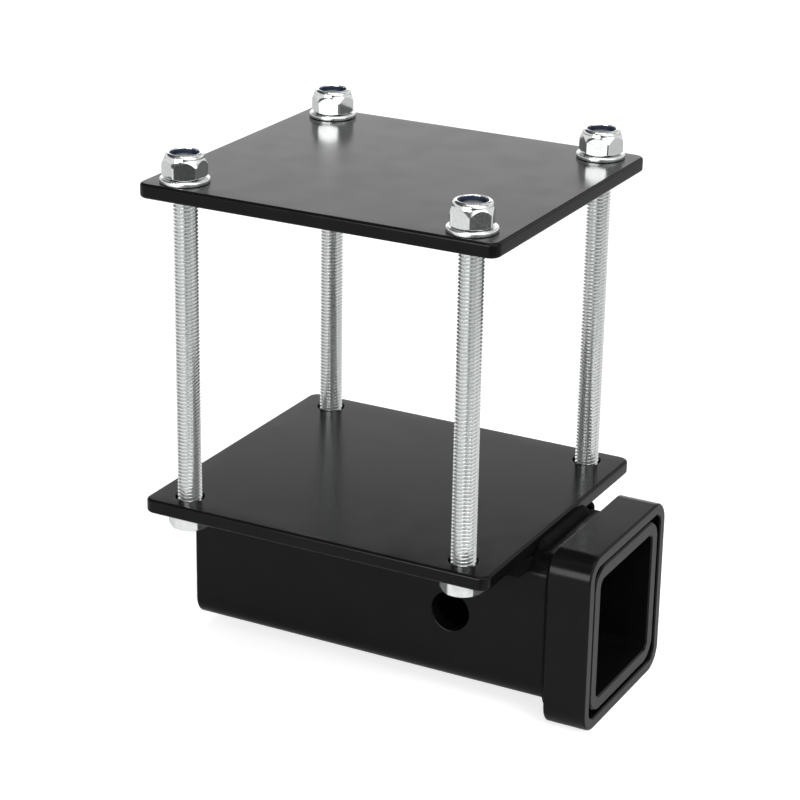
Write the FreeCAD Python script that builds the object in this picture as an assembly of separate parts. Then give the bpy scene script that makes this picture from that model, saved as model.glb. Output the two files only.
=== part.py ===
import FreeCAD, Part
import math
import os

# Bumper hitch receiver: a square receiver tube under a plate, clamped round a
# bumper by a second plate on four long bolts. Millimetres, +Z up, +X out of the
# receiver's mouth. The origin is where the hitch pin crosses the tube's axis.
# Right is -Y and left is +Y, as seen looking out of the mouth.

# Receiver tube
shank_opening = 52.0
tube_wall = 5.75
tube_inner_radius = 3.25
tube_edge_chamfer = 0.6

# Hitch pin hole, set back from the mouth
pin_hole_diameter = 16.7
pin_setback = 63.5
pin_hole_chamfer = 0.6

# Reinforcing collar round the mouth
collar_gap = 1.5
collar_wall = 4.85
collar_inner_radius = 5.0
collar_length = 18.0
collar_proud = 0.4
collar_edge_fillet = 0.9
collar_inner_chamfer = 0.5

# Fillet weld behind the collar
collar_weld_length = 3.6
collar_weld_toe = 0.35
collar_weld_step = 0.6
collar_weld_crown = 0.45

# Clamp plates, both cut to the same outline
plate_length = 156.0
plate_width = 140.0
plate_thickness = 6.0
plate_corner_radius = 4.5
plate_rim_fillet = 1.2
plate_rear_overhang = 0.5
plate_collar_gap = 11.5
hole_inset_x = 15.5
hole_inset_y = 11.5
hole_clearance = 1.0

# Welds between the tube and the lower plate
seam_weld_root_angle = 28.0
seam_weld_toe = 1.6
seam_weld_drop = 1.0
seam_weld_rear_margin = 6.0
seam_weld_front_reach = 1.5
front_weld_leg_x = 3.6
front_weld_leg_z = 3.4
front_weld_crown = 0.5
weld_end_roundness = 0.9

# Bolts, washers and nylon-insert lock nuts
bolt_diameter = 10.0
bolt_length = 150.0
bolt_head_height = 6.4
bolt_washer_face = 0.5
bolt_end_chamfer = 0.9
thread_clearance = 0.1
ring_wall = 1.5
ring_height = 2.6
nut_collar_wall = 1.2
nut_flat_step = 0.2
nut_height = 10.0
nut_collar_height = 2.0
nut_collar_land = 0.3
nut_shoulder_slope = 2.0
nut_lip = 1.1
nut_entry_chamfer = 0.6
lip_overhang = 0.75
bolt_end_recess = 1.5
washer_margin = 2.0
washer_bore_clearance = 0.25
washer_thickness = 2.0
washer_edge_fillet = 0.5

# Hexagon chamfer, as on any turned hexagon
chamfer_slope = math.tan(math.radians(30))
chamfer_start = 0.95

# Each corner's side in X and Y, and how far its nut and its bolt head are turned
corners = {"rear_right": (-1, -1), "front_right": (1, -1), "front_left": (1, 1), "rear_left": (-1, 1)}
nut_turns = {"rear_right": 1.5, "front_right": 19.0, "front_left": 42.0, "rear_left": 46.0}
head_turns = {"rear_right": 50.0, "front_right": 48.0, "front_left": 12.0, "rear_left": 33.0}

# Sizes that follow from the ones above
tube_half = shank_opening / 2 + tube_wall
tube_radius = tube_inner_radius + tube_wall
collar_inner_half = tube_half + collar_gap
collar_half = collar_inner_half + collar_wall
collar_radius = collar_inner_radius + collar_wall

mouth_x = pin_setback
collar_back_x = mouth_x - collar_length
tube_front_x = mouth_x - collar_proud

# The lower plate stops short of the collar, and the tube runs back under the whole of it
plate_front_x = collar_back_x - plate_collar_gap
plate_rear_x = plate_front_x - plate_length
tube_rear_x = plate_rear_x + plate_rear_overhang
plate_middle_x = (plate_rear_x + plate_front_x) / 2
bolt_offset_x = plate_length / 2 - hole_inset_x
bolt_offset_y = plate_width / 2 - hole_inset_y

bolt_radius = bolt_diameter / 2
plate_hole_radius = bolt_radius + hole_clearance
thread_bore_radius = bolt_radius + thread_clearance
ring_radius = thread_bore_radius + ring_wall
lip_radius = thread_bore_radius + lip_overhang
nut_collar_radius = ring_radius + nut_collar_wall
nut_hexagon_height = nut_height - nut_collar_height
nut_dome_radius = nut_collar_height - nut_collar_land
flat_radius = nut_collar_radius + nut_flat_step
hexagon_radius = flat_radius / math.cos(math.radians(30))
washer_radius = flat_radius + washer_margin
washer_bore_radius = bolt_radius + washer_bore_clearance

# The nuts stand at the ends of the bolts, which sets the gap between the plates
lower_plate_z = tube_half
lower_plate_top = lower_plate_z + plate_thickness
nut_top_z = lower_plate_z + bolt_length + bolt_end_recess
nut_z = nut_top_z - nut_height
washer_z = nut_z - washer_thickness
upper_plate_z = washer_z - plate_thickness

origin = FreeCAD.Vector(0, 0, 0)
up = FreeCAD.Vector(0, 0, 1)
tolerance = 1e-3


def vector(x, y, z):
    return FreeCAD.Vector(x, y, z)


def bolt_place(corner):
    # Where a corner's bolt stands, seen from above.
    side_x, side_y = corners[corner]
    return plate_middle_x + side_x * bolt_offset_x, side_y * bolt_offset_y


def rounded_outline(half_a, half_b, radius, place):
    # Closed rectangle with round corners; place(a, b) puts a point in space.
    edges = []
    bend = radius * (1 - math.sqrt(0.5))
    ends = []
    for a, b in ((1, 1), (-1, 1), (-1, -1), (1, -1)):
        along_a = place(a * (half_a - radius), b * half_b)
        along_b = place(a * half_a, b * (half_b - radius))
        middle = place(a * (half_a - bend), b * (half_b - bend))
        start, stop = (along_b, along_a) if a == b else (along_a, along_b)
        edges.append(Part.Arc(start, middle, stop).toShape())
        ends.append((start, stop))
    for corner in range(4):
        edges.append(Part.makeLine(ends[corner][1], ends[(corner + 1) % 4][0]))
    return Part.Wire(Part.__sortEdges__(edges))


def square_wire(x, half, radius):
    # Square outline across the tube's axis.
    return rounded_outline(half, half, radius, lambda a, b: vector(x, a, b))


def square_bar(x_start, x_stop, half, radius):
    # Solid square bar along the tube's axis.
    return Part.Face(square_wire(x_start, half, radius)).extrude(vector(x_stop - x_start, 0, 0))


def edges_on_plane(shape, axis, value):
    # Edges that lie wholly in the plane where the given coordinate has this value.
    found = []
    for edge in shape.Edges:
        box = edge.BoundBox
        low = (box.XMin, box.YMin, box.ZMin)[axis]
        high = (box.XMax, box.YMax, box.ZMax)[axis]
        if abs(low - value) < tolerance and abs(high - value) < tolerance:
            found.append(edge)
    return found


def turned(points):
    # Solid of revolution about Z from a closed (radius, height) outline.
    corners_3d = [vector(r, 0, z) for r, z in points]
    wire = Part.makePolygon(corners_3d + corners_3d[:1])
    return Part.Face(wire).revolve(origin, up, 360)


def hexagon(height):
    # Upright hexagonal bar with a flat facing +X.
    points = []
    for side in range(7):
        angle = math.radians(30 + 60 * side)
        points.append(vector(hexagon_radius * math.cos(angle), hexagon_radius * math.sin(angle), 0))
    return Part.Face(Part.makePolygon(points)).extrude(vector(0, 0, height))


def make_receiver_tube():
    tube = square_bar(tube_rear_x, tube_front_x, tube_half, tube_radius)
    tube = tube.cut(square_bar(tube_rear_x, tube_front_x, shank_opening / 2, tube_inner_radius))
    for end_x in (tube_rear_x, tube_front_x):
        tube = tube.makeChamfer(tube_edge_chamfer, edges_on_plane(tube, 0, end_x))
    pin_radius = pin_hole_diameter / 2
    across = vector(0, 1, 0)
    tube = tube.cut(Part.makeCylinder(pin_radius, 2 * tube_half, vector(0, -tube_half, 0), across))
    for side in (-1, 1):
        tube = tube.cut(Part.makeCone(pin_radius + pin_hole_chamfer, pin_radius, pin_hole_chamfer,
                                      vector(0, side * tube_half, 0), vector(0, -side, 0)))
    return tube


def make_mouth_collar():
    collar = square_bar(collar_back_x, mouth_x, collar_half, collar_radius)
    outer_rim = edges_on_plane(collar, 0, mouth_x)
    collar = collar.makeFillet(collar_edge_fillet, outer_rim)
    collar = collar.cut(square_bar(collar_back_x, mouth_x, collar_inner_half, collar_inner_radius))
    inner_rim = []
    for edge in edges_on_plane(collar, 0, mouth_x):
        if max(abs(edge.BoundBox.YMax), abs(edge.BoundBox.YMin)) < collar_inner_half + tolerance:
            inner_rim.append(edge)
    return collar.makeChamfer(collar_inner_chamfer, inner_rim)


def make_collar_weld():
    # Bead from the tube's surface up to the collar's back edge, a little crowned.
    tip = tube_half + collar_weld_toe
    top = collar_half - collar_weld_step
    middle = (tip + top) / 2 + collar_weld_crown
    sections = []
    for share, half in ((0.0, tip), (0.5, middle), (1.0, top)):
        x = collar_back_x - collar_weld_length * (1 - share)
        sections.append(square_wire(x, half, tube_radius + half - tube_half))
    bead = Part.makeLoft(sections, True, True)
    return bead.cut(square_bar(collar_back_x - 2 * collar_weld_length, mouth_x, tube_half, tube_radius))


def make_plate(bottom_z):
    outline = rounded_outline(plate_length / 2, plate_width / 2, plate_corner_radius,
                              lambda a, b: vector(plate_middle_x + a, b, bottom_z))
    plate = Part.Face(outline).extrude(vector(0, 0, plate_thickness))
    rims = edges_on_plane(plate, 2, bottom_z) + edges_on_plane(plate, 2, bottom_z + plate_thickness)
    plate = plate.makeFillet(plate_rim_fillet, rims)
    for corner in corners:
        x, y = bolt_place(corner)
        plate = plate.cut(Part.makeCylinder(plate_hole_radius, plate_thickness, vector(x, y, bottom_z)))
    return plate


def make_seam_weld(side):
    # Bead in the groove between the tube's round shoulder and the plate above it.
    x_start = plate_rear_x + seam_weld_rear_margin
    x_stop = plate_front_x + seam_weld_front_reach
    shoulder = tube_half - tube_radius

    def on_shoulder(degrees):
        angle = math.radians(degrees)
        y = shoulder + tube_radius * math.sin(angle)
        z = shoulder + tube_radius * math.cos(angle)
        return vector(x_start, side * y, z)

    root = on_shoulder(seam_weld_root_angle)
    under_plate = vector(x_start, root.y, tube_half)
    plate_toe = vector(x_start, side * (tube_half + seam_weld_toe), tube_half)
    side_top = on_shoulder(90)
    tube_toe = vector(x_start, side_top.y, shoulder - seam_weld_drop)
    shoulder_arc = Part.Arc(side_top, on_shoulder((90 + seam_weld_root_angle) / 2), root)
    edges = [shoulder_arc.toShape()]
    chain = [root, under_plate, plate_toe, tube_toe, side_top]
    for start, stop in zip(chain[:-1], chain[1:]):
        edges.append(Part.makeLine(start, stop))
    bead = Part.Face(Part.Wire(Part.__sortEdges__(edges))).extrude(vector(x_stop - x_start, 0, 0))
    # Rounded ends, seen from below
    bead_width = tube_half + seam_weld_toe - abs(root.y)
    middle_y = side * abs(root.y)
    ends = rounded_outline((x_stop - x_start) / 2, bead_width, weld_end_roundness * bead_width,
                           lambda a, b: vector((x_start + x_stop) / 2 + a, middle_y + b, 0))
    return bead.common(Part.Face(ends).extrude(vector(0, 0, 2 * tube_half)))


def make_front_weld():
    # Bead along the plate's front edge, on the flat top of the tube.
    half = tube_half - tube_radius
    foot = vector(plate_front_x, -half, tube_half)
    top = vector(plate_front_x, -half, tube_half + front_weld_leg_z)
    toe = vector(plate_front_x + front_weld_leg_x, -half, tube_half)
    slope = (toe - top).normalize()
    outward = vector(-slope.z, 0, slope.x)
    crown = (top + toe) * 0.5 + outward * front_weld_crown
    bulge = Part.Arc(top, crown, toe).toShape()
    profile = Part.Wire([Part.makeLine(foot, top), bulge, Part.makeLine(toe, foot)])
    bead = Part.Face(profile).extrude(vector(0, 2 * half, 0))
    # Rounded ends, seen from above
    ends = rounded_outline(2 * front_weld_leg_x, half, weld_end_roundness * front_weld_leg_x,
                           lambda a, b: vector(plate_front_x - front_weld_leg_x + a, b, 0))
    return bead.common(Part.Face(ends).extrude(vector(0, 0, 2 * tube_half)))


def make_bolt():
    # Head below z = 0, shank above; the shank stands for the thread's crests.
    face_radius = chamfer_start * flat_radius
    rise = (hexagon_radius - face_radius) * chamfer_slope
    bottom = -bolt_head_height
    envelope = turned([(0, bottom), (face_radius, bottom), (hexagon_radius, bottom + rise),
                       (hexagon_radius, 0), (0, 0)])
    head = hexagon(bolt_head_height - bolt_washer_face)
    head.translate(vector(0, 0, bottom))
    head = head.common(envelope)
    shank = turned([(0, -bolt_washer_face), (face_radius, -bolt_washer_face), (face_radius, 0),
                    (bolt_radius, 0), (bolt_radius, bolt_length - bolt_end_chamfer),
                    (bolt_radius - bolt_end_chamfer, bolt_length), (0, bolt_length)])
    return head.fuse(shank).removeSplitter()


def make_washer():
    washer = Part.makeCylinder(washer_radius, washer_thickness)
    washer = washer.makeFillet(washer_edge_fillet, edges_on_plane(washer, 2, washer_thickness))
    return washer.cut(Part.makeCylinder(washer_bore_radius, washer_thickness))


def make_nut():
    # Hexagon below, round collar above, its rim crimped in over the nylon ring.
    face_radius = chamfer_start * flat_radius
    rise = (hexagon_radius - face_radius) * chamfer_slope
    shoulder = (hexagon_radius - nut_collar_radius) * nut_shoulder_slope
    envelope = turned([(0, 0), (face_radius, 0), (hexagon_radius, rise),
                       (hexagon_radius, nut_hexagon_height - shoulder),
                       (nut_collar_radius, nut_hexagon_height),
                       (nut_collar_radius, nut_height), (0, nut_height)])
    envelope = envelope.makeFillet(nut_dome_radius, edges_on_plane(envelope, 2, nut_height))
    nut = hexagon(nut_height).common(envelope)
    ring_top = nut_height - nut_lip
    nut = nut.cut(Part.makeCylinder(thread_bore_radius, nut_height))
    nut = nut.cut(Part.makeCylinder(ring_radius, ring_height, vector(0, 0, ring_top - ring_height)))
    nut = nut.cut(Part.makeCylinder(lip_radius, nut_lip, vector(0, 0, ring_top)))
    entry_radius = thread_bore_radius + nut_entry_chamfer
    return nut.cut(Part.makeCone(entry_radius, thread_bore_radius, nut_entry_chamfer))


def make_nylon_ring():
    ring = Part.makeCylinder(ring_radius, ring_height)
    ring = ring.cut(Part.makeCylinder(thread_bore_radius, ring_height))
    ring.translate(vector(0, 0, nut_height - nut_lip - ring_height))
    return ring


def placed(shape, corner, turn, z):
    # A copy of a fastener, turned about its axis and set on a corner's bolt line.
    x, y = bolt_place(corner)
    copy = shape.copy()
    copy.rotate(origin, up, turn)
    copy.translate(vector(x, y, z))
    return copy


pieces = {
    "receiver_tube": make_receiver_tube(),
    "mouth_collar": make_mouth_collar(),
    "collar_weld": make_collar_weld(),
    "lower_plate": make_plate(lower_plate_z),
    "upper_plate": make_plate(upper_plate_z),
    "plate_weld_right": make_seam_weld(-1),
    "plate_weld_left": make_seam_weld(1),
    "plate_weld_front": make_front_weld(),
}

bolt = make_bolt()
washer = make_washer()
nut = make_nut()
nylon_ring = make_nylon_ring()
for corner in corners:
    pieces["bolt_" + corner] = placed(bolt, corner, head_turns[corner], lower_plate_z)
    pieces["washer_" + corner] = placed(washer, corner, 0, washer_z)
    pieces["nut_" + corner] = placed(nut, corner, nut_turns[corner], nut_z)
    pieces["nylon_ring_" + corner] = placed(nylon_ring, corner, nut_turns[corner], nut_z)

os.makedirs("parts", exist_ok=True)
for name, shape in pieces.items():
    shape.exportStep("parts/" + name + ".step")
    state = "valid" if shape.isValid() else "INVALID"
    print(name, state, len(shape.Solids), "solid", round(shape.Volume, 1), "mm3")
print("gap between the plates", round(upper_plate_z - lower_plate_top, 3))
print("middle of the bolts", round(plate_middle_x, 3), "nut seats at", round(nut_z, 3))
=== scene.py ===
import math

import bmesh
import bpy
import numpy as np
from mathutils import Matrix, Vector


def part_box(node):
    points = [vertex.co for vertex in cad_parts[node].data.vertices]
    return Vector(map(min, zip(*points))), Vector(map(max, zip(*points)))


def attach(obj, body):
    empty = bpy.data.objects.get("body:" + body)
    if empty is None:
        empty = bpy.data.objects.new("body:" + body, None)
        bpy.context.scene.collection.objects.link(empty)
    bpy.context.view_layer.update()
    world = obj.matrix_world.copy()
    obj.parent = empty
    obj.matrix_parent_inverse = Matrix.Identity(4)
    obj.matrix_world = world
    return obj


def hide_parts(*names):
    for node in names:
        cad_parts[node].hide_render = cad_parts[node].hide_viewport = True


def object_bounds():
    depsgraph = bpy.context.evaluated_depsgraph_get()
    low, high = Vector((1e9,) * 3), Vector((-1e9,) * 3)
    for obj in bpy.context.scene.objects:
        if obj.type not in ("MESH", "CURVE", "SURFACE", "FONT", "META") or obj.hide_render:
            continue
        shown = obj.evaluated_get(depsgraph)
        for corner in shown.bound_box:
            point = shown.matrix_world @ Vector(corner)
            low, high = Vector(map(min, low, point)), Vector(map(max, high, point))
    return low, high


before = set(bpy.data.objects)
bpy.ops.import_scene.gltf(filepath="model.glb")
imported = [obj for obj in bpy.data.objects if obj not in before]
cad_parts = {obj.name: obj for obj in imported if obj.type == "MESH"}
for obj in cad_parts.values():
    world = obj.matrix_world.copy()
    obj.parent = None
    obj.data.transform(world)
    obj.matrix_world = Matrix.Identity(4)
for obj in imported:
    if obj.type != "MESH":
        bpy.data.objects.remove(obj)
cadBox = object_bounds()
print("frame loaded,", len(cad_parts), "solids")

mm = 0.001
corners = ("rear_right", "front_right", "front_left", "rear_left")


# Mesh making

meshing = {"joinDistance": 2e-6, "sliverLength": 1e-7}


# Quads of a grid: each point joins the next in its row and the next row, and the last row
# or column joins the first where the grid goes round.
def gridQuads(rows, cols, rowsGoRound, colsGoRound):
    i = np.arange(rows if rowsGoRound else rows - 1)[:, None]
    j = np.arange(cols if colsGoRound else cols - 1)[None, :]
    below, beside = (i + 1) % rows, (j + 1) % cols
    loop = (i * cols + j, i * cols + beside, below * cols + beside, below * cols + j)
    return np.stack(np.broadcast_arrays(*loop), -1)


# One skin: the grid's points in a row, and its quads, or only those that are kept.
def skin(grid, rowsGoRound=False, colsGoRound=True, keep=None):
    rows, cols = grid.shape[:2]
    quads = gridQuads(rows, cols, rowsGoRound, colsGoRound)
    quads = quads.reshape(-1, 4) if keep is None else quads[keep]
    return grid.reshape(-1, 3), quads


# A piece of the object from its skins (millimetres), joined where they meet; the materials go to
# the skins in turn, and the last one to the rest.
def addPiece(name, skins, materials, body, node, sharpAngle=32, flatSides=False):
    sizes = [len(points) for points, quads in skins]
    starts = np.concatenate([[0], np.cumsum(sizes)[:-1]])
    points = np.concatenate([p for p, q in skins]) * mm
    quads = np.concatenate([q + s for (p, q), s in zip(skins, starts)])
    turns = np.minimum(np.arange(len(skins)), len(materials) - 1)
    coverings = np.repeat(turns, [len(q) for p, q in skins])
    mesh = bpy.data.meshes.new(name)
    mesh.vertices.add(len(points))
    mesh.vertices.foreach_set("co", points.astype(np.float32).ravel())
    mesh.loops.add(quads.size)
    mesh.loops.foreach_set("vertex_index", quads.astype(np.int32).ravel())
    mesh.polygons.add(len(quads))
    mesh.polygons.foreach_set("loop_start", np.arange(0, quads.size, 4, dtype=np.int32))
    mesh.polygons.foreach_set("material_index", coverings.astype(np.int32))
    mesh.update(calc_edges=True)
    joined = bmesh.new()
    joined.from_mesh(mesh)
    bmesh.ops.remove_doubles(joined, verts=joined.verts, dist=meshing["joinDistance"])
    bmesh.ops.dissolve_degenerate(joined, edges=joined.edges, dist=meshing["sliverLength"])
    bmesh.ops.recalc_face_normals(joined, faces=joined.faces)
    joined.to_mesh(mesh)
    joined.free()
    mesh.shade_smooth()
    mesh.set_sharp_from_angle(angle=math.radians(sharpAngle))
    for material in materials:
        mesh.materials.append(material)
    piece = bpy.data.objects.new(name, mesh)
    bpy.context.scene.collection.objects.link(piece)
    if flatSides:
        weighted = piece.modifiers.new("flat sides stay flat", "WEIGHTED_NORMAL")
        weighted.keep_sharp = True
    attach(piece, body)
    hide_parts(node)


# The lowest and the highest corner of a node, in millimetres.
def boxOf(node):
    return [np.array(corner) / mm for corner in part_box(node)]


# The middle of a node's underside: halfway between its corners, at the lowest height.
def placeOf(node):
    low, high = boxOf(node)
    return np.array([(low[0] + high[0]) / 2, (low[1] + high[1]) / 2, low[2]])


# Points round the Z axis through a place: the radius times the angle's cosine and sine, and the height.
def aroundZ(radius, height, angles, place):
    x = place[0] + radius * np.cos(angles)
    y = place[1] + radius * np.sin(angles)
    z = place[2] + height
    return np.stack([x, y, z], -1)


# A turned shape: each row is a radius and a height, each one number or one for every angle.
def turned(rows, angles, place):
    radius = np.stack([np.broadcast_to(r, angles.shape) for r, z in rows])
    height = np.stack([np.broadcast_to(z, angles.shape) for r, z in rows])
    return aroundZ(radius, height, angles, place)


# Even angles once round.
def evenAngles(columns):
    return np.linspace(0, 2 * np.pi, columns, endpoint=False)


# Three t squared less two t cubed, with t held between 0 and 1.
def smoothStep(t):
    t = np.clip(t, 0, 1)
    return t * t * (3 - 2 * t)


# Part of a circle, as (a, b) rows: the centre plus the radius times the turn's cosine and sine.
def quarter(centreA, centreB, radius, startDegrees, stopDegrees, steps):
    turn = np.radians(np.linspace(startDegrees, stopDegrees, steps))
    return np.stack([centreA + radius * np.cos(turn), centreB + radius * np.sin(turn)], 1)


# Hexagons

# Angles crowd towards the corners: on each side, 30 degrees times the sine of an even run.
def hexagonAngles(perSide, turnDegrees):
    share = np.linspace(-1, 1, perSide, endpoint=False)
    oneSide = 30 * np.sin(share * np.pi / 2)
    return np.radians((60 * np.arange(6)[:, None] + oneSide[None, :]).ravel() + turnDegrees)


# The distance to the side is the flat's distance over the cosine of the angle from the flat's middle,
# or, past the start of the small corner arc, the distance to that arc.
def hexagonRadius(angles, turnDegrees, flat, cornerRound):
    fromFlat = (angles - math.radians(turnDegrees) + math.pi / 6) % (math.pi / 3) - math.pi / 6
    straight = flat / np.cos(fromFlat)
    arcCentre = (flat - cornerRound) / math.cos(math.pi / 6)
    fromCorner = math.pi / 6 - np.abs(fromFlat)
    inside = np.maximum(cornerRound ** 2 - (arcCentre * np.sin(fromCorner)) ** 2, 0)
    rounded = arcCentre * np.cos(fromCorner) + np.sqrt(inside)
    arcStart = math.atan((flat - cornerRound) * math.tan(math.pi / 6) / flat)
    return np.where(np.abs(fromFlat) > arcStart, rounded, straight)


hexagonEnd = {
    "coneDegrees": 30, "faceStart": 0.25, "faceIn": 0.05, "faceUp": 0.02,
    "bulge": 0.05, "sideIn": 0.06, "sideUp": 0.01, "sideStart": 0.12,
}


# Coned end of a hexagon, as rows from its round face out to its sides: the height is the distance
# past the face times the cone's slope, with both edges of the cone eased.
def conedEnd(side, face):
    cone = (side - face) * math.tan(math.radians(hexagonEnd["coneDegrees"]))
    return [
        (face - hexagonEnd["faceStart"], 0),
        (face - hexagonEnd["faceIn"], hexagonEnd["faceUp"]),
        ((face + side) / 2, cone / 2 + hexagonEnd["bulge"]),
        (side - hexagonEnd["sideIn"], cone + hexagonEnd["sideUp"]),
        (side, cone + hexagonEnd["sideStart"]),
    ]


# Materials

# A new node material, with its nodes, its links and its main shader.
def newMaterial(name):
    made = bpy.data.materials.new(name)
    made.use_nodes = True
    nodes = made.node_tree.nodes
    return made, nodes, made.node_tree.links, nodes["Principled BSDF"]


# Noise on the object's own coordinates, in waves of a given length in millimetres.
def noiseOn(nodes, links, waveLength, detail, roughness=0.5):
    place = nodes.new("ShaderNodeTexCoord")
    noise = nodes.new("ShaderNodeTexNoise")
    noise.inputs["Scale"].default_value = 1 / (waveLength * mm)
    noise.inputs["Detail"].default_value = detail
    noise.inputs["Roughness"].default_value = roughness
    links.new(place.outputs["Object"], noise.inputs["Vector"])
    return noise.outputs["Fac"]


# A value that goes from low to high while its source goes through a range.
def spread(nodes, links, source, low, high, fromLow=0.3, fromHigh=0.7):
    ranged = nodes.new("ShaderNodeMapRange")
    ranged.inputs["From Min"].default_value = fromLow
    ranged.inputs["From Max"].default_value = fromHigh
    ranged.inputs["To Min"].default_value = low
    ranged.inputs["To Max"].default_value = high
    links.new(source, ranged.inputs["Value"])
    return ranged.outputs["Result"]


# Bumps of a given height in millimetres over another bump, or over the plain surface.
def bumpOn(nodes, links, source, heightMm, under=None):
    bump = nodes.new("ShaderNodeBump")
    bump.inputs["Distance"].default_value = heightMm * mm
    bump.inputs["Strength"].default_value = 1
    links.new(source, bump.inputs["Height"])
    if under is not None:
        links.new(under, bump.inputs["Normal"])
    return bump.outputs["Normal"]


# Two colours mixed by a noise.
def twoColours(nodes, links, source, first, second):
    mix = nodes.new("ShaderNodeMix")
    mix.data_type = "RGBA"
    mix.inputs["A"].default_value = (*first, 1)
    mix.inputs["B"].default_value = (*second, 1)
    links.new(source, mix.inputs["Factor"])
    return mix.outputs["Result"]


powderCoat = {
    "dark": (0.0021, 0.0021, 0.0021), "pale": (0.0033, 0.0033, 0.0033),
    "gloss": (0.18, 0.23), "specular": 0.10, "weldGloss": (0.48, 0.60), "weldSpecular": 0.03,
    "orangePeel": 1.6, "orangePeelDetail": 1.5, "orangePeelHeight": 0.003,
    "wave": 14.0, "waveDetail": 1.0, "waveHeight": 0.0025,
}


# Powder coat: slow waves mix two blacks and two roughnesses, and lie as a low bump under the orange peel.
def makePowderCoat(name, gloss, specular):
    made, nodes, links, shader = newMaterial(name)
    peel = noiseOn(nodes, links, powderCoat["orangePeel"], powderCoat["orangePeelDetail"])
    wave = noiseOn(nodes, links, powderCoat["wave"], powderCoat["waveDetail"])
    black = twoColours(nodes, links, wave, powderCoat["dark"], powderCoat["pale"])
    links.new(black, shader.inputs["Base Color"])
    links.new(spread(nodes, links, wave, *gloss), shader.inputs["Roughness"])
    slow = bumpOn(nodes, links, wave, powderCoat["waveHeight"])
    fine = bumpOn(nodes, links, peel, powderCoat["orangePeelHeight"], slow)
    links.new(fine, shader.inputs["Normal"])
    shader.inputs["Specular IOR Level"].default_value = specular
    return made


# The gloss is the roughness where the clouds are bright, then where they are dull
zinc = {
    "cloudDetail": 3.0, "cloudRoughness": 0.6, "grain": 0.5, "grainDetail": 2.0, "grainHeight": 0.0025,
    "plated": {
        "dull": (0.59, 0.608, 0.605), "bright": (0.745, 0.76, 0.755),
        "gloss": (0.09, 0.19), "cloud": 2.6, "metallic": 0.92,
    },
    "tumbled": {
        "dull": (0.58, 0.602, 0.60), "bright": (0.86, 0.872, 0.87),
        "gloss": (0.06, 0.15), "cloud": 0.8, "metallic": 1.0,
    },
    "pressed": {
        "dull": (0.58, 0.602, 0.60), "bright": (0.86, 0.872, 0.87),
        "gloss": (0.22, 0.32), "cloud": 0.8, "metallic": 1.0,
    },
    "sawn": {
        "dull": (0.18, 0.19, 0.21), "bright": (0.34, 0.35, 0.37),
        "gloss": (0.38, 0.52), "cloud": 2.6, "metallic": 1.0,
    },
}


# Zinc: clouds mix two greys and two roughnesses, the brighter the smoother, over a fine grain.
def makeZinc(name, finish):
    made, nodes, links, shader = newMaterial(name)
    cloud = noiseOn(nodes, links, finish["cloud"], zinc["cloudDetail"], zinc["cloudRoughness"])
    grain = noiseOn(nodes, links, zinc["grain"], zinc["grainDetail"])
    grey = twoColours(nodes, links, cloud, finish["dull"], finish["bright"])
    smooth, rough = finish["gloss"]
    links.new(grey, shader.inputs["Base Color"])
    links.new(spread(nodes, links, cloud, rough, smooth), shader.inputs["Roughness"])
    links.new(bumpOn(nodes, links, grain, zinc["grainHeight"]), shader.inputs["Normal"])
    shader.inputs["Metallic"].default_value = finish["metallic"]
    return made


nylon = {
    "deep": (0.003, 0.006, 0.016), "worn": (0.006, 0.012, 0.038),
    "gloss": (0.5, 0.65), "specular": 0.25, "mottle": 0.8, "mottleDetail": 2.0,
}


# Nylon: a fine mottle mixes two blues and two roughnesses.
def makeNylon():
    made, nodes, links, shader = newMaterial("blue nylon")
    mottle = noiseOn(nodes, links, nylon["mottle"], nylon["mottleDetail"])
    blue = twoColours(nodes, links, mottle, nylon["deep"], nylon["worn"])
    links.new(blue, shader.inputs["Base Color"])
    links.new(spread(nodes, links, mottle, *nylon["gloss"]), shader.inputs["Roughness"])
    shader.inputs["Specular IOR Level"].default_value = nylon["specular"]
    return made


coatMaterial = makePowderCoat("black powder coat", powderCoat["gloss"], powderCoat["specular"])
weldMaterial = makePowderCoat(
    "black powder coat on weld", powderCoat["weldGloss"], powderCoat["weldSpecular"])
boltZinc = makeZinc("bright zinc plating", zinc["plated"])
nutZinc = makeZinc("tumbled zinc plating", zinc["tumbled"])
washerZinc = makeZinc("zinc on the washers", zinc["pressed"])
sawnZinc = makeZinc("zinc on the sawn ends", zinc["sawn"])
nylonMaterial = makeNylon()
print("materials made")

# Threaded bolts

bolt = {
    "radius": 5.0, "length": 150.0, "pitch": 1.5, "threadDepth": 0.92, "runOut": 3.0,
    "tipChamfer": 0.9, "tipStep": 0.05, "tipShares": (1.0, 0.55, 0.0),
    "flat": 8.0, "headHeight": 6.4, "washerFace": 0.5, "edge": 0.1,
    "cornerRound": 0.5, "chamferStart": 0.95, "perSide": 8, "sharpAngle": 28,
    "headTurn": {"rear_right": 50.0, "front_right": 48.0, "front_left": 12.0, "rear_left": 33.0},
    # Along one pitch, the share of the thread's depth: crest with eased edges, flank, root, flank
    "profile": (
        (0.0, 0.05), (0.025, 0.0), (0.10, 0.0), (0.125, 0.05),
        (0.30, 0.52), (0.479, 1.0), (0.646, 1.0), (0.82, 0.52),
    ),
}
boltPlain = bolt["radius"] - bolt["threadDepth"] / 2
boltTip = bolt["radius"] - bolt["tipChamfer"] - bolt["tipStep"]


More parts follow.
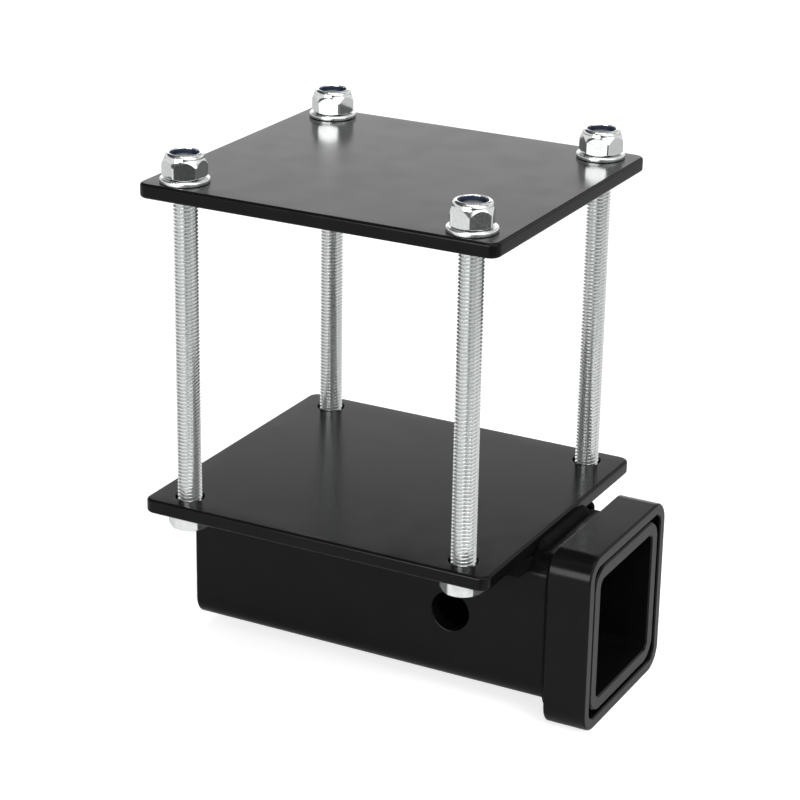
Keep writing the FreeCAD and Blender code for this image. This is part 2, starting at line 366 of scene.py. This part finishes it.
# Right-hand thread: the grid climbs one pitch a turn, so each row keeps its place on the profile.
# What would pass an end is held there, and the last column meets the first one pitch further up.
def threadSkin(angles, place):
    profile = np.array(bolt["profile"])
    perTurn = len(profile)
    turns = np.arange(-1, int(bolt["length"] / bolt["pitch"]) + 3)
    share = (turns[:, None] + profile[:, 0]).ravel()[:, None] + (angles - angles[0]) / (2 * np.pi)
    height = np.clip(share * bolt["pitch"], 0, bolt["length"])
    depth = np.tile(profile[:, 1], len(turns))[:, None] * bolt["threadDepth"]
    radius = boltPlain + smoothStep(height / bolt["runOut"]) * (bolt["radius"] - depth - boltPlain)
    tip = boltTip + bolt["length"] - height
    grid = aroundZ(np.minimum(radius, tip), height, angles, place)
    rows, cols = height.shape
    quads = gridQuads(rows, cols, False, True)
    quads[:-perTurn, -1, 1:3] += perTurn * cols
    kept = np.ones(quads.shape[:2], bool)
    kept[-perTurn:, -1] = False
    return grid.reshape(-1, 3), quads[kept]


# Bolt: the sawn end from its rim to its middle, the hexagon head from the middle of its underside
# out to its side and in again to the shank, and the thread between them.
def makeBolt(corner):
    node = "bolt_" + corner
    place = placeOf(node) + (0, 0, bolt["headHeight"])
    turn = bolt["headTurn"][corner]
    angles = hexagonAngles(bolt["perSide"], turn)
    side = hexagonRadius(angles, turn, bolt["flat"], bolt["cornerRound"])
    face = bolt["chamferStart"] * bolt["flat"]
    under, seat, edge = -bolt["headHeight"], -bolt["washerFace"], bolt["edge"]
    end = [(share * boltTip, bolt["length"]) for share in bolt["tipShares"]]
    head = [
        (0, under), (face / 2, under), *[(r, under + z) for r, z in conedEnd(side, face)],
        (side, seat - edge), (side - edge, seat), (face, seat), (face, 0), (boltPlain, 0),
    ]
    skins = [skin(turned(end, angles, place)), skin(turned(head, angles, place)), threadSkin(angles, place)]
    finishes = [sawnZinc, boltZinc]
    addPiece("threaded_" + node, skins, finishes, "base", node, bolt["sharpAngle"])


for corner in corners:
    makeBolt(corner)
print("bolts threaded")

# Washers

washer = {
    "radius": 10.0, "bore": 5.25, "thickness": 2.0,
    "topRound": 0.7, "footRound": 0.35, "boreRound": 0.25,
    "topSteps": 8, "footSteps": 5, "boreSteps": 4, "columns": 72,
}


# Flat washer: a rectangle with round edges, carried round the bolt.
def makeWasher(corner):
    node = "washer_" + corner
    thick, outside, inside = washer["thickness"], washer["radius"], washer["bore"]
    foot, top, edge = washer["footRound"], washer["topRound"], washer["boreRound"]
    rows = np.concatenate([
        quarter(outside - foot, foot, foot, -90, 0, washer["footSteps"]),
        quarter(outside - top, thick - top, top, 0, 90, washer["topSteps"]),
        quarter(inside + edge, thick - edge, edge, 90, 180, washer["boreSteps"]),
        quarter(inside + edge, edge, edge, 180, 270, washer["boreSteps"]),
    ])
    grid = turned(rows, evenAngles(washer["columns"]), placeOf(node))
    addPiece("flat_" + node, [skin(grid, True)], [washerZinc], "clamp", node)


# Lock nuts

nut = {
    "flat": 8.0, "height": 10.0, "hexagonHeight": 8.0, "cornerRound": 1.0, "chamferStart": 0.95,
    "shoulderSlope": 2.0, "shoulderStart": 0.14, "shoulderIn": 0.07, "shoulderDown": 0.01,
    "shoulderBulge": 0.03,
    "collarRadius": 7.8, "collarFootOut": 0.08, "collarFootDown": 0.14, "neck": 0.35,
    "dome": 1.6, "lipRadius": 5.85, "lipRound": 0.35, "lip": 1.1,
    "bore": 5.1, "entry": 0.6, "ringRadius": 6.6, "ringHeight": 2.6,
    "perSide": 14, "domeSteps": 10, "lipSteps": 6, "sharpAngle": 28,
    "turn": {"rear_right": 1.5, "front_right": 19.0, "front_left": 42.0, "rear_left": 46.0},
}


# Nut: a hexagon coned at both ends, then a round collar whose rim rolls in over the ring, then down
# through the ring's groove and the bore.
def makeNut(corner):
    node = "nut_" + corner
    turn = nut["turn"][corner]
    angles = hexagonAngles(nut["perSide"], turn)
    side = hexagonRadius(angles, turn, nut["flat"], nut["cornerRound"])
    face = nut["chamferStart"] * nut["flat"]
    collarRadius, hexagonTop, top = nut["collarRadius"], nut["hexagonHeight"], nut["height"]
    shoulder = hexagonTop - (side - collarRadius) * nut["shoulderSlope"]
    outside = [
        (side, shoulder - nut["shoulderStart"]),
        (side - nut["shoulderIn"], shoulder - nut["shoulderDown"]),
        ((side + collarRadius) / 2, (shoulder + hexagonTop) / 2 + nut["shoulderBulge"]),
        (collarRadius + nut["collarFootOut"], hexagonTop - nut["collarFootDown"]),
        (collarRadius, hexagonTop + nut["neck"]),
    ]
    bend, roll = nut["dome"], nut["lipRound"]
    dome = quarter(collarRadius - bend, top - bend, bend, 0, 90, nut["domeSteps"])
    lip = quarter(nut["lipRadius"] + roll, top - roll, roll, 90, 180, nut["lipSteps"])
    ringTop = top - nut["lip"]
    ringFoot = ringTop - nut["ringHeight"]
    inside = [
        (nut["lipRadius"], ringTop), (nut["ringRadius"], ringTop), (nut["ringRadius"], ringFoot),
        (nut["bore"], ringFoot), (nut["bore"], nut["entry"]),
    ]
    rows = [(nut["bore"] + nut["entry"], 0), *conedEnd(side, face), *outside, *dome, *lip, *inside]
    grid = turned(rows, angles, placeOf(node))
    addPiece("lock_" + node, [skin(grid, True)], [nutZinc], node, node, nut["sharpAngle"])


# Nylon rings

ring = {
    "inside": 5.1, "outside": 6.6, "height": 2.6,
    "rimOutside": 5.8, "rimHeight": 3.25, "rimRound": 0.3, "rimSteps": 5, "columns": 64,
}


# Nylon ring: a rectangle under the nut's rim, squeezed up inside that rim, carried round the bolt.
def makeRing(corner):
    node = "nylon_ring_" + corner
    inside, outside, height = ring["inside"], ring["outside"], ring["height"]
    rim, rimTop, soft = ring["rimOutside"], ring["rimHeight"], ring["rimRound"]
    rows = np.concatenate([
        [[inside, 0], [outside, 0], [outside, height], [rim, height]],
        quarter(rim - soft, rimTop - soft, soft, 0, 90, ring["rimSteps"]),
        quarter(inside + soft, rimTop - soft, soft, 90, 180, ring["rimSteps"]),
    ])
    grid = turned(rows, evenAngles(ring["columns"]), placeOf(node))
    addPiece("insert_" + node, [skin(grid, True)], [nylonMaterial], "nut_" + corner, node)


for corner in corners:
    makeWasher(corner)
    makeNut(corner)
    makeRing(corner)
print("washers, lock nuts and nylon rings made")

# Receiver tube

tube = {
    "wall": 5.75, "innerRadius": 3.25, "edge": 0.6, "pinRadius": 8.35, "pinRound": 0.7,
    "perSide": 15, "perArc": 11, "nearHole": 66.0, "holeSteps": 27, "restSteps": 8, "pinSteps": 6,
}
tubeRadius = tube["innerRadius"] + tube["wall"]


# Rounded square across the X axis, as points and outward normals: even steps along each side, then
# an arc, and the same quarter turned three times.
def roundedSquare(half, radius, perSide, perArc):
    straight = half - radius
    along = np.linspace(-straight, straight, perSide)
    bend = np.linspace(0, np.pi / 2, perArc + 2)[1:-1]
    bow = np.stack([np.cos(bend), np.sin(bend)], 1)
    points = np.concatenate([np.stack([0 * along + half, along], 1), straight + radius * bow])
    normals = np.concatenate([np.tile([1.0, 0.0], (perSide, 1)), bow])
    quarters = [np.array([[c, s], [-s, c]]) for c, s in ((1, 0), (0, 1), (-1, 0), (0, -1))]
    return np.concatenate([points @ q for q in quarters]), np.concatenate([normals @ q for q in quarters])


# Points of an outline moved out along its normals, row by row, each row at its own X.
def carriedAlongX(rows, points, normals):
    flat = points[None] + normals[None] * rows[:, 1][:, None, None]
    x = np.broadcast_to(rows[:, 0][:, None, None], flat.shape[:2] + (1,))
    return np.concatenate([x, flat], -1)


# The tube's wall is carried round its outline; the two sides are left open and filled by a panel that
# runs from the side's border to the pin hole, through the wall and out to the border again.
def makeTube():
    low, high = boxOf("receiver_tube")
    half, wall, edge = high[1], tube["wall"], tube["edge"]
    perSide, perArc = tube["perSide"], tube["perArc"]
    points, normals = roundedSquare(half, tubeRadius, perSide, perArc)
    fan = np.radians(np.linspace(-tube["nearHole"], tube["nearHole"], tube["holeSteps"]))
    near = (half - tubeRadius) * np.tan(fan)
    rest = np.linspace(low[0] + edge, near[0], tube["restSteps"], endpoint=False)
    steps = np.concatenate([rest, near, [high[0] - edge]])
    count = len(steps)
    rows = np.concatenate([
        np.stack([steps, 0 * steps], 1), [[high[0], -edge], [high[0], edge - wall]],
        np.stack([steps[::-1], 0 * steps - wall], 1), [[low[0], edge - wall], [low[0], -edge]],
    ])
    grid = carriedAlongX(rows, points, normals)
    pinRadius, pinRound = tube["pinRadius"], tube["pinRound"]
    lip = quarter(pinRadius + pinRound, half - pinRound, pinRound, 90, 180, tube["pinSteps"])
    bore = np.concatenate([lip, [[pinRadius, half - wall]]])
    keep = np.ones(grid.shape[:2], bool)
    skins = []
    for sign, first in ((1, 0), (-1, 2 * (perSide + perArc))):
        last = first + perSide - 1
        for start in (0, count + 2):
            keep[start:start + count - 1, first:last] = False
        along, across = np.arange(count), np.arange(first, last + 1)
        rowOrder = np.concatenate([along, 0 * across[1:] + count - 1, along[::-1][1:], 0 * across[1:-1]])
        colOrder = np.concatenate([0 * along + first, across[1:], 0 * along[1:] + last, across[::-1][1:-1]])
        outer, inner = grid[rowOrder, colOrder], grid[2 * count + 1 - rowOrder, colOrder]
        towards = outer[:, [0, 2]] / np.linalg.norm(outer[:, [0, 2]], axis=1)[:, None]
        y = np.broadcast_to(sign * bore[:, 1:], (len(bore), len(towards)))
        hole = np.stack([bore[:, :1] * towards[:, 0], y, bore[:, :1] * towards[:, 1]], -1)
        skins.append(skin(np.concatenate([outer[None], hole, inner[None]])))
    skins.append(skin(grid, True, True, keep))
    addPiece("coated_receiver_tube", skins, [coatMaterial], "base", "receiver_tube",
             flatSides=True)


makeTube()

# Mouth collar

collar = {
    "wall": 4.85, "innerRadius": 5.0, "frontRound": 0.9, "backRound": 0.4, "innerChamfer": 0.5,
    "perSide": 2, "perArc": 13, "frontSteps": 7, "backSteps": 4,
}


# The collar's wall, with its front rim rounded, carried round the inside outline.
def makeCollar():
    low, high = boxOf("mouth_collar")
    wall, bevel = collar["wall"], collar["innerChamfer"]
    front, back = collar["frontRound"], collar["backRound"]
    hollow = high[1] - wall
    points, normals = roundedSquare(hollow, collar["innerRadius"], collar["perSide"], collar["perArc"])
    rows = np.concatenate([
        [[low[0], 0]],
        quarter(low[0] + back, wall - back, back, 180, 90, collar["backSteps"]),
        quarter(high[0] - front, wall - front, front, 90, 0, collar["frontSteps"]),
        [[high[0], bevel], [high[0] - bevel, 0]],
    ])
    skins = [skin(carriedAlongX(rows, points, normals), True)]
    addPiece("coated_mouth_collar", skins, [coatMaterial], "base", "mouth_collar",
             flatSides=True)


makeCollar()

# Clamp plates

plate = {
    "cornerRadius": 4.5, "rim": 1.2, "holeRadius": 6.0, "holeRound": 0.35,
    "holeInsetX": 15.5, "holeInsetY": 11.5, "sideSteps": 14, "arcSteps": 7, "roundSteps": 6,
}


# One quarter of a plate's flat face, from the middle lines out to the rim: its border in order, and
# which part of the border is the outer edge, with that part's outward normals.
def plateQuarter(halfX, halfY):
    radius = plate["cornerRadius"] - plate["rim"]
    a, b = halfX - plate["rim"], halfY - plate["rim"]
    step = np.linspace(0, 1, plate["sideSteps"])
    bend = np.linspace(0, np.pi / 2, plate["arcSteps"])
    bow = np.stack([np.cos(bend), np.sin(bend)], 1)[1:-1]
    right = np.stack([a + 0 * step, (b - radius) * step], 1)
    top = np.stack([(a - radius) * (1 - step), b + 0 * step], 1)
    outer = np.concatenate([right, (a - radius, b - radius) + radius * bow, top])
    facingX, facingY = np.tile([1.0, 0.0], (len(right), 1)), np.tile([0.0, 1.0], (len(top), 1))
    normals = np.concatenate([facingX, bow, facingY])
    foot = np.stack([a * step[:-1], 0 * step[:-1]], 1)
    inner = np.stack([0 * step[:-1], b * (1 - step[:-1])], 1)[1:]
    return np.concatenate([foot, outer, inner]), outer, normals


# Each quarter runs from its border to the bolt hole, down the hole and out to the border underneath;
# the rim is a round-edged strip carried round the outer edges.
def makePlate(node, body):
    low, high = boxOf(node)
    middle = (low[:2] + high[:2]) / 2
    halfX, halfY = (high[:2] - low[:2]) / 2
    bottom, top = low[2], high[2]
    rim, radius, small, steps = plate["rim"], plate["holeRadius"], plate["holeRound"], plate["roundSteps"]
    border, outer, normals = plateQuarter(halfX, halfY)
    hole = np.array([halfX - plate["holeInsetX"], halfY - plate["holeInsetY"]])
    towards = (border - hole) / np.linalg.norm(border - hole, axis=1)[:, None]
    bore = np.concatenate([
        quarter(radius + small, top - small, small, 90, 180, steps),
        quarter(radius + small, bottom + small, small, 180, 270, steps),
    ])
    edge = np.concatenate([
        quarter(0, top - rim, rim, 90, 0, steps),
        quarter(0, bottom + rim, rim, 0, -90, steps),
    ])
    holeRows = hole + bore[:, 0][:, None, None] * towards
    heights = np.concatenate([[top], bore[:, 1], [bottom]])[:, None, None]
    skins, edgePoints, edgeNormals = [], [], []
    for sideX, sideY in ((1, 1), (-1, 1), (-1, -1), (1, -1)):
        side = np.array([sideX, sideY])
        flat = np.concatenate([border[None], holeRows, border[None]]) * side + middle
        z = np.broadcast_to(heights, flat.shape[:2] + (1,))
        skins.append(skin(np.concatenate([flat, z], -1)))
        order = slice(None, -1) if sideX == sideY else slice(None, 0, -1)
        edgePoints.append((outer * side)[order])
        edgeNormals.append((normals * side)[order])
    edgePoints, edgeNormals = np.concatenate(edgePoints), np.concatenate(edgeNormals)
    flat = edgePoints[None] + edgeNormals[None] * edge[:, 0][:, None, None] + middle
    z = np.broadcast_to(edge[:, 1][:, None, None], flat.shape[:2] + (1,))
    skins.append(skin(np.concatenate([flat, z], -1)))
    addPiece("coated_" + node, skins, [coatMaterial], body, node, flatSides=True)


makePlate("lower_plate", "base")
makePlate("upper_plate", "clamp")
print("tube, collar and plates surfaced")

# Weld beads

weld = {
    "ripple": 2.3, "rippleHeight": 0.13, "bow": 0.55, "toeFade": 0.6, "sink": 0.3,
    "across": 9, "stepsPerRipple": 6, "sharpAngle": 50,
}


# Ripples of a bead: round-topped scallops along it, bowed across it and fading to both toes.
def ripples(along, across):
    scallop = np.abs(np.sin(np.pi * (along - weld["bow"] * (2 * across - 1) ** 2)))
    return weld["rippleHeight"] * scallop * np.sin(np.pi * across) ** weld["toeFade"]


# The crowned face of a bead between two toes: points along the chord, raised by the crown times four
# times the share done times the share left, and the face's outward normal.
def beadFace(firstToe, secondToe, crown):
    across = np.linspace(0, 1, weld["across"])[:, None]
    chord = np.subtract(secondToe, firstToe)
    outward = np.array([-chord[1], chord[0]]) / np.linalg.norm(chord)
    face = firstToe + across * chord + 4 * across * (1 - across) * crown * outward
    return across, face, outward


# A bead in the welds' finish, in place of one weld.
def addBead(name, grid, rowsGoRound, node):
    skins = [skin(grid, rowsGoRound)]
    addPiece(name, skins, [weldMaterial], "base", node, weld["sharpAngle"])


collarBead = {
    "length": 3.6, "toe": 0.1, "step": 0.6, "crown": 0.45, "perSide": 60, "perArc": 24,
    "wander": 0.07, "wanderWaves": (5, 3), "wanderShift": 1.0,
}


# The bead behind the collar, carried round the tube: a whole number of ripples closes it up, and its
# face wanders by the product of two slow sines.
def makeCollarBead():
    back = boxOf("mouth_collar")[0][0]
    half = boxOf("receiver_tube")[1][1]
    top = boxOf("mouth_collar")[1][1] - half - collarBead["step"]
    start = back - collarBead["length"]
    points, normals = roundedSquare(half, tubeRadius, collarBead["perSide"], collarBead["perArc"])
    crest = points + normals * top
    stride = np.linalg.norm(np.roll(crest, -1, 0) - crest, axis=1)
    travelled = np.concatenate([[0], np.cumsum(stride)[:-1]]) / stride.sum()
    along = (travelled * round(stride.sum() / weld["ripple"]))[None, :]
    across, face, outward = beadFace((start, collarBead["toe"]), (back, top), collarBead["crown"])
    fast, slow = (2 * np.pi * waves * travelled for waves in collarBead["wanderWaves"])
    wander = collarBead["wander"] * np.sin(fast) * np.sin(slow + collarBead["wanderShift"])
    swell = ripples(along, across) + wander * np.sin(np.pi * across)
    x = face[:, :1] + outward[0] * swell
    out = face[:, 1:] + outward[1] * swell
    sink = weld["sink"]
    for hiddenX, hiddenOut in ((back + sink, top), (back + sink, -sink), (start, -sink)):
        x = np.concatenate([x, np.full(along.shape, hiddenX)])
        out = np.concatenate([out, np.full(along.shape, hiddenOut)])
    flat = points[None] + normals[None] * out[..., None]
    addBead("collar_bead", np.concatenate([x[..., None], flat], -1), True, "collar_weld")


# A straight bead: its section, from one toe to the other and back through the metal, shrinks to its
# anchor at both ends, as a quarter circle does.
def straightBead(node, bead, firstToe, secondToe, hidden, anchor, span, placed):
    count = int((span[1] - span[0]) / weld["ripple"]) * weld["stepsPerRipple"]
    travel = np.linspace(span[0], span[1], count)[None, :]
    along = (travel - span[0]) / weld["ripple"]
    across, face, outward = beadFace(firstToe, secondToe, bead["crown"])
    swell = ripples(along, across)
    section = np.stack([face[:, :1] + outward[0] * swell, face[:, 1:] + outward[1] * swell], -1)
    section = np.concatenate([section, np.broadcast_to(np.array(hidden)[:, None], (len(hidden), count, 2))])
    fromEnd = np.clip(np.minimum(travel - span[0], span[1] - travel) / bead["endLength"], 0, 1)
    size = np.sqrt(1 - (1 - fromEnd) ** 2)[..., None]
    section = anchor + (section - anchor) * size
    grid = placed(np.broadcast_to(travel, section.shape[:2]), section[..., 0], section[..., 1])
    addBead(node.replace("weld", "bead"), np.swapaxes(grid, 0, 1), False, node)


seamBead = {
    "toe": 1.6, "drop": 1.0, "crown": 0.5, "endLength": 7.0, "wallIn": 0.05,
    "toeDepth": 2.0, "rootIn": 3.0, "rootDown": 4.0, "anchorDown": 2.0,
}
frontBead = {"crown": 0.55, "endLength": 4.0}


# The beads under the lower plate fill the tube's two shoulders and run along X; the one at the plate's
# front edge lies on the tube and runs along Y.
def makePlateBeads():
    half = boxOf("receiver_tube")[1][2]
    flatHalf = half - tubeRadius
    sink = weld["sink"]
    root, depth = half - seamBead["rootIn"], seamBead["toeDepth"]
    for hand, sign in (("right", -1), ("left", 1)):
        node = "plate_weld_" + hand
        low, high = boxOf(node)
        straightBead(
            node, seamBead, (half + seamBead["toe"], half + sink),
            (half - seamBead["wallIn"], flatHalf - seamBead["drop"]),
            [(half - depth, flatHalf - depth), (root, half - seamBead["rootDown"]), (root, half + sink)],
            np.array([root, half - seamBead["anchorDown"]]), (low[0], high[0]),
            lambda t, a, b, sign=sign: np.stack([t, sign * a, b], -1))
    low, high = boxOf("plate_weld_front")
    straightBead(
        "plate_weld_front", frontBead, (low[0] - sink, high[2]), (high[0], low[2] - sink),
        [(low[0] - sink, low[2] - sink)], np.array([low[0], low[2]]), (low[1], high[1]),
        lambda t, a, b: np.stack([a, t, b], -1))


makeCollarBead()
makePlateBeads()
print("weld beads rippled")

# Camera, set by the photograph's edges, in degrees and millimetres

camera = {
    "azimuth": 27.647, "elevation": 21.197, "roll": 0.948, "distance": 1026.2,
    "target": (-41.02, 0.0, 73.13), "focalPixels": 2492.3, "framePixels": 800,
    "sensor": 36.0, "clipStart": 0.01, "clipEnd": 50,
}


# The way to a point of the room, from its azimuth from +X and its elevation: the cosines of both
# multiplied, the azimuth's sine times the elevation's cosine, and the elevation's sine.
def direction(azimuthDegrees, elevationDegrees):
    a, e = math.radians(azimuthDegrees), math.radians(elevationDegrees)
    return Vector((math.cos(a) * math.cos(e), math.sin(a) * math.cos(e), math.sin(e)))


# The camera stands at the target plus its distance along its own direction, whose azimuth is from -Y,
# and is then turned about its own axis by the roll.
def addCamera():
    azimuth, roll = math.radians(camera["azimuth"]), math.radians(camera["roll"])
    away = direction(camera["azimuth"] - 90, camera["elevation"])
    right = Vector((math.cos(azimuth), math.sin(azimuth), 0))
    up = away.cross(right)
    across = math.cos(roll) * right + math.sin(roll) * up
    upright = -math.sin(roll) * right + math.cos(roll) * up
    data = bpy.data.cameras.new("photo camera")
    data.sensor_width = camera["sensor"]
    data.lens = camera["focalPixels"] / camera["framePixels"] * camera["sensor"]
    data.clip_start, data.clip_end = camera["clipStart"], camera["clipEnd"]
    seat = bpy.data.objects.new("photo camera", data)
    matrix = Matrix((across, upright, away)).transposed().to_4x4()
    matrix.translation = (Vector(camera["target"]) + away * camera["distance"]) * mm
    seat.matrix_world = matrix
    bpy.context.scene.collection.objects.link(seat)
    bpy.context.scene.camera = seat


addCamera()

# Studio: a white table that ends in front of the object, soft boxes above it and a pale band all round

# Azimuth from +X and elevation in degrees, distance and sides in metres, and whether gloss mirrors the box
softBoxes = {
    "key": {
        "azimuth": -94, "elevation": 13, "distance": 1.3, "width": 0.95, "height": 0.60,
        "radiance": 10.5, "mirrored": True,
    },
    "overhead": {
        "azimuth": -62, "elevation": 86, "distance": 1.3, "width": 0.70, "height": 0.70,
        "radiance": 3.8, "mirrored": True,
    },
    "fill": {
        "azimuth": -16, "elevation": 27, "distance": 0.40, "width": 0.30, "height": 0.30,
        "radiance": 3.2, "mirrored": False,
    },
}


# Each box is a flat lamp facing the object; its power is pi times its area times its radiance.
def addSoftBox(name, azimuth, elevation, distance, width, height, radiance, mirrored):
    towards = direction(azimuth, elevation)
    lamp = bpy.data.lights.new(name + " soft box", "AREA")
    lamp.shape = "RECTANGLE"
    lamp.size, lamp.size_y = width, height
    lamp.energy = math.pi * width * height * radiance
    seat = bpy.data.objects.new(name + " soft box", lamp)
    seat.rotation_mode = "QUATERNION"
    seat.rotation_quaternion = towards.to_track_quat("Z", "Y")
    seat.location = Vector(camera["target"]) * mm + towards * distance
    seat.visible_camera = False
    seat.visible_glossy = mirrored
    bpy.context.scene.collection.objects.link(seat)


# One surface for the camera's own rays and another for all the rest.
def forCameraAndRest(nodes, links, seen, rest, output):
    path = nodes.new("ShaderNodeLightPath")
    mix = nodes.new("ShaderNodeMixShader")
    links.new(path.outputs["Is Camera Ray"], mix.inputs[0])
    links.new(rest, mix.inputs[1])
    links.new(seen, mix.inputs[2])
    links.new(mix.outputs[0], output.inputs["Surface"])


# A plain matt grey.
def mattGrey(nodes, grey):
    made = nodes.new("ShaderNodeBsdfDiffuse")
    made.inputs["Color"].default_value = (grey, grey, grey, 1)
    return made.outputs[0]


# In metres; the camera sees one grey with a glow, and the rest meets the other
table = {
    "halfWidth": 1.6, "front": 0.21, "back": 2.2, "drop": 0.00005,
    "seenGrey": 0.60, "seenGlow": 0.60, "restGrey": 0.70,
}


# The table is a rectangle squared to the camera, just under the object. To the camera it is a grey
# that glows, so it is white where it is lit and keeps the shadow; to all else it is matt.
def addTable():
    azimuth = math.radians(camera["azimuth"])
    across = np.array([math.cos(azimuth), math.sin(azimuth)])
    towards = np.array([math.sin(azimuth), -math.cos(azimuth)])
    half, front, back = table["halfWidth"], table["front"], -table["back"]
    plan = [across * s * half + towards * d for s, d in ((-1, back), (-1, front), (1, front), (1, back))]
    floorZ = cadBox[0].z - table["drop"]
    mesh = bpy.data.meshes.new("table")
    mesh.from_pydata([(x, y, floorZ) for x, y in plan], [], [(0, 1, 2, 3)])
    made, nodes, links, shader = newMaterial("white table")
    nodes.remove(shader)
    glow = nodes.new("ShaderNodeEmission")
    glow.inputs["Strength"].default_value = table["seenGlow"]
    white = nodes.new("ShaderNodeAddShader")
    links.new(mattGrey(nodes, table["seenGrey"]), white.inputs[0])
    links.new(glow.outputs[0], white.inputs[1])
    rest = mattGrey(nodes, table["restGrey"])
    forCameraAndRest(nodes, links, white.outputs[0], rest, nodes["Material Output"])
    mesh.materials.append(made)
    top = bpy.data.objects.new("table", mesh)
    bpy.context.scene.collection.objects.link(top)


# Heights are those of a direction one long. A patch has its azimuth from +X, its elevation, and its inner
# and outer radius in degrees, then the strength that it has or adds
room = {
    "band": 0.92, "bandTop": 0.385, "ceiling": 0.08, "ceilingStart": 0.40,
    "floorStart": -0.335, "floorTop": -0.318,
    "opening": (-44, -14, 30, 44, 0.07), "shade": (-67, -21, 5, 17, 0.30),
    "backGlow": (117, 15, 9, 24, 0.93), "floorGlow": (-95, -18, 12, 32, 0.10),
    "farGlow": (64, 44, 12, 34, 0.80), "rightGlow": (-24, 32, 15, 44, 1.95),
    "crownGlow": (-62, 75, 20, 48, 0.40),
}


# A soft round patch of the room: a plain value that turns to the patch's own strength as the cosine of
# the angle from its middle goes from the outer radius to the inner one.
def patch(nodes, links, place, name, plain):
    azimuth, elevation, inner, outer, strength = room[name]
    towards = nodes.new("ShaderNodeVectorMath")
    towards.operation = "DOT_PRODUCT"
    towards.inputs[1].default_value = direction(azimuth, elevation)
    links.new(place, towards.inputs[0])
    near, far = math.cos(math.radians(inner)), math.cos(math.radians(outer))
    shaped = spread(nodes, links, towards.outputs["Value"], plain, strength, far, near)
    shaped.node.interpolation_type = "SMOOTHSTEP"
    return shaped


# Two values of the room's strength, multiplied, added, or the larger of them.
def combined(nodes, links, operation, first, second):
    made = nodes.new("ShaderNodeMath")
    made.operation = operation
    links.new(first, made.inputs[0])
    links.new(second, made.inputs[1])
    return made.outputs[0]


# A white background, whose strength can be linked.
def whiteBackground(nodes):
    made = nodes.new("ShaderNodeBackground")
    made.inputs["Color"].default_value = (1, 1, 1, 1)
    return made


# The room is white to the camera. To all else its strength is a pale band under a dim ceiling, times the
# sum of three: the dark opening or the shaded floor, whichever is larger, the back glow and the floor
# glow. The far, right and crown glows are then added.
def addRoom():
    world = bpy.data.worlds.new("studio room")
    bpy.context.scene.world = world
    world.use_nodes = True
    nodes, links = world.node_tree.nodes, world.node_tree.links
    nodes.remove(nodes["Background"])
    place = nodes.new("ShaderNodeTexCoord").outputs["Generated"]
    split = nodes.new("ShaderNodeSeparateXYZ")
    links.new(place, split.inputs[0])
    height = split.outputs["Z"]
    bandEnds = (room["bandTop"], room["ceilingStart"])
    band = spread(nodes, links, height, room["band"], room["ceiling"], *bandEnds)
    band.node.interpolation_type = "SMOOTHSTEP"
    floor = spread(nodes, links, height, 1, 0, room["floorStart"], room["floorTop"])
    floor = combined(nodes, links, "MULTIPLY", floor, patch(nodes, links, place, "shade", 1))
    strength = combined(nodes, links, "MAXIMUM", patch(nodes, links, place, "opening", 1), floor)
    for name in ("backGlow", "floorGlow"):
        strength = combined(nodes, links, "ADD", strength, patch(nodes, links, place, name, 0))
    strength = combined(nodes, links, "MULTIPLY", band, strength)
    for name in ("farGlow", "rightGlow", "crownGlow"):
        strength = combined(nodes, links, "ADD", strength, patch(nodes, links, place, name, 0))
    soft, white = whiteBackground(nodes), whiteBackground(nodes)
    links.new(strength, soft.inputs["Strength"])
    forCameraAndRest(nodes, links, white.outputs[0], soft.outputs[0], nodes["World Output"])


addTable()
for name, box in softBoxes.items():
    addSoftBox(name, **box)
addRoom()
bpy.context.scene.view_settings.view_transform = "Standard"
print("studio set")
